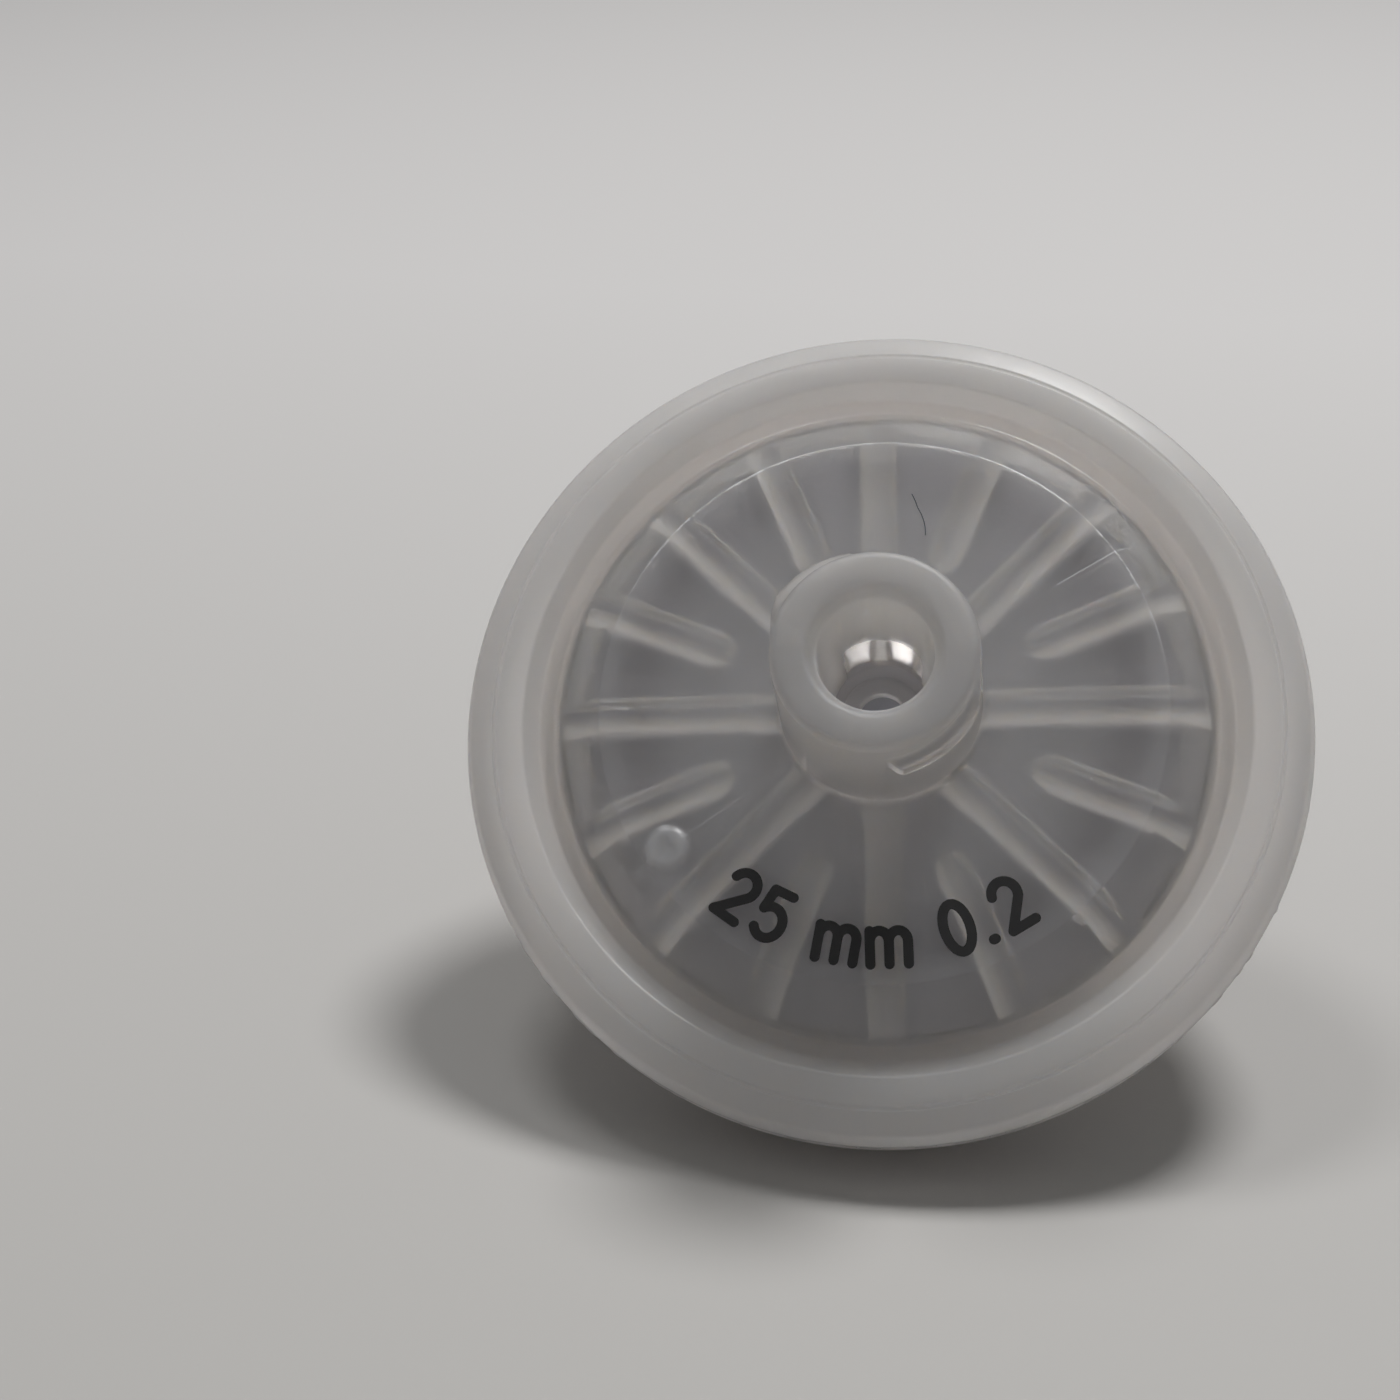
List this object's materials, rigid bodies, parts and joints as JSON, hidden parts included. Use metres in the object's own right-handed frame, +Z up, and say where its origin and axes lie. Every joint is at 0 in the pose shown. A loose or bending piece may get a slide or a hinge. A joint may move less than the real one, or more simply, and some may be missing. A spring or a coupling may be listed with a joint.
{
  "type": "syringe filter",
  "caption": "Disc-shaped syringe filter: translucent welded housing with radial ribs over a membrane, a Luer-lock socket hub on one side and a finned male Luer nozzle on the other.",
  "frame": {"origin": "under the middle of the whole filter, on the surface that it lies on", "axes": "+Z up; +X along the level diameter of the disc; the low edge of the rim is toward -Y, the nozzle tip is toward +Y, and the inlet socket faces up and toward -Y"},
  "size_m": [0.033, 0.0258, 0.0249],
  "materials": {
    "housing": "natural translucent polypropylene, smooth as moulded",
    "membrane": "white microporous nylon, matt"
  },
  "bodies": {
    "root": {"inlet_housing": "housing", "outlet_housing": "housing", "membrane": "membrane"}
  },
  "joints": []
}
